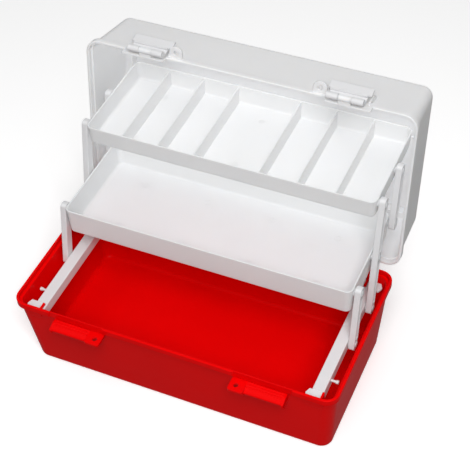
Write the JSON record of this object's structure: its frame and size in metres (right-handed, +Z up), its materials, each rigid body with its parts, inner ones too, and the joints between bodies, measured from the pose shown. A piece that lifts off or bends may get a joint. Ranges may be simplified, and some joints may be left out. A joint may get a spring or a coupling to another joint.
{
  "type": "art supply box",
  "caption": "Plastic art supply box with a red tub, hinged white lid, snap latches, carry handle and cantilever trays that rise on linked arms.",
  "frame": {"origin": "centre of the tub's flat underside", "axes": "+X to the right seen from the front, +Y to the back, +Z up; the lid hinges about a line along X at the back"},
  "size_m": [0.404, 0.3461, 0.3265],
  "materials": {
    "red_plastic": "glossy moulded polypropylene",
    "lid_plastic": "satin moulded polypropylene",
    "tray_plastic": "satin moulded polypropylene",
    "fitting_plastic": "satin moulded polypropylene",
    "steel": "drawn bright steel pin"
  },
  "bodies": {
    "base": {"base_tub": "red_plastic", "rail_left": "fitting_plastic", "rail_right": "fitting_plastic", "hinge_pin_left": "steel", "hinge_pin_middle": "steel", "hinge_pin_right": "steel"},
    "lid": {"lid_shell": "lid_plastic", "handle_pin_left": "steel", "handle_pin_right": "steel"},
    "latch_left": {"latch_left": "fitting_plastic"},
    "latch_right": {"latch_right": "fitting_plastic"},
    "carry_handle": {"carry_handle": "fitting_plastic"},
    "long_arm_left": {"long_arm_left": "fitting_plastic"},
    "long_arm_right": {"long_arm_right": "fitting_plastic"},
    "short_arm_left": {"short_arm_left": "fitting_plastic"},
    "short_arm_right": {"short_arm_right": "fitting_plastic"},
    "lower_tray": {"lower_tray": "tray_plastic"},
    "upper_tray": {"upper_tray": "tray_plastic"},
    "rear_arm_left": {"rear_arm_left": "fitting_plastic"},
    "rear_arm_right": {"rear_arm_right": "fitting_plastic"}
  },
  "joints": [
    {"name": "lid_hinge", "type": "hinge", "parent": "base", "child": "lid", "pos_m": [0, 0.1065, 0.1065], "axis": [1, 0, 0], "range_deg": [0, 99]},
    {"name": "long_arm_left_pivot", "type": "hinge", "parent": "base", "child": "long_arm_left", "pos_m": [-0.1837, 0.058, 0.0873], "axis": [1, 0, 0], "range_deg": [0, 73.3]},
    {"name": "short_arm_left_pivot", "type": "hinge", "parent": "base", "child": "short_arm_left", "pos_m": [-0.1837, 0, 0.0873], "axis": [1, 0, 0], "range_deg": [0, 73.3]},
    {"name": "long_arm_right_pivot", "type": "hinge", "parent": "base", "child": "long_arm_right", "pos_m": [0.1837, 0.058, 0.0873], "axis": [1, 0, 0], "range_deg": [0, 73.3]},
    {"name": "short_arm_right_pivot", "type": "hinge", "parent": "base", "child": "short_arm_right", "pos_m": [0.1837, 0, 0.0873], "axis": [1, 0, 0], "range_deg": [0, 73.3]},
    {"name": "lower_tray_pivot", "type": "hinge", "parent": "long_arm_left", "child": "lower_tray", "pos_m": [-0.1837, 0.07211, 0.1579], "axis": [1, 0, 0], "range_deg": [-73.3, 0]},
    {"name": "upper_tray_pivot", "type": "hinge", "parent": "long_arm_left", "child": "upper_tray", "pos_m": [-0.1837, 0.08622, 0.22851], "axis": [1, 0, 0], "range_deg": [-73.3, 0]},
    {"name": "rear_arm_left_pivot", "type": "hinge", "parent": "lower_tray", "child": "rear_arm_left", "pos_m": [-0.1837, 0.13011, 0.1579], "axis": [1, 0, 0], "range_deg": [0, 73.3]},
    {"name": "rear_arm_right_pivot", "type": "hinge", "parent": "lower_tray", "child": "rear_arm_right", "pos_m": [0.1837, 0.13011, 0.1579], "axis": [1, 0, 0], "range_deg": [0, 73.3]},
    {"name": "latch_left_pivot", "type": "hinge", "parent": "lid", "child": "latch_left", "pos_m": [-0.12, 0.13338, 0.32094], "axis": [1, 0, 0], "range_deg": [0, 160]},
    {"name": "latch_right_pivot", "type": "hinge", "parent": "lid", "child": "latch_right", "pos_m": [0.12, 0.13338, 0.32094], "axis": [1, 0, 0], "range_deg": [0, 160]},
    {"name": "handle_pivot", "type": "hinge", "parent": "lid", "child": "carry_handle", "pos_m": [0, 0.22333, 0.21], "axis": [1, 0, 0], "range_deg": [-9, 81]}
  ],
  "couplings": [
    {"joint": "long_arm_left_pivot", "follows": "lid_hinge", "ratio": 0.7404},
    {"joint": "short_arm_left_pivot", "follows": "lid_hinge", "ratio": 0.7404},
    {"joint": "long_arm_right_pivot", "follows": "lid_hinge", "ratio": 0.7404},
    {"joint": "short_arm_right_pivot", "follows": "lid_hinge", "ratio": 0.7404},
    {"joint": "lower_tray_pivot", "follows": "lid_hinge", "ratio": -0.7404},
    {"joint": "upper_tray_pivot", "follows": "lid_hinge", "ratio": -0.7404},
    {"joint": "rear_arm_left_pivot", "follows": "lid_hinge", "ratio": 0.7404},
    {"joint": "rear_arm_right_pivot", "follows": "lid_hinge", "ratio": 0.7404}
  ]
}
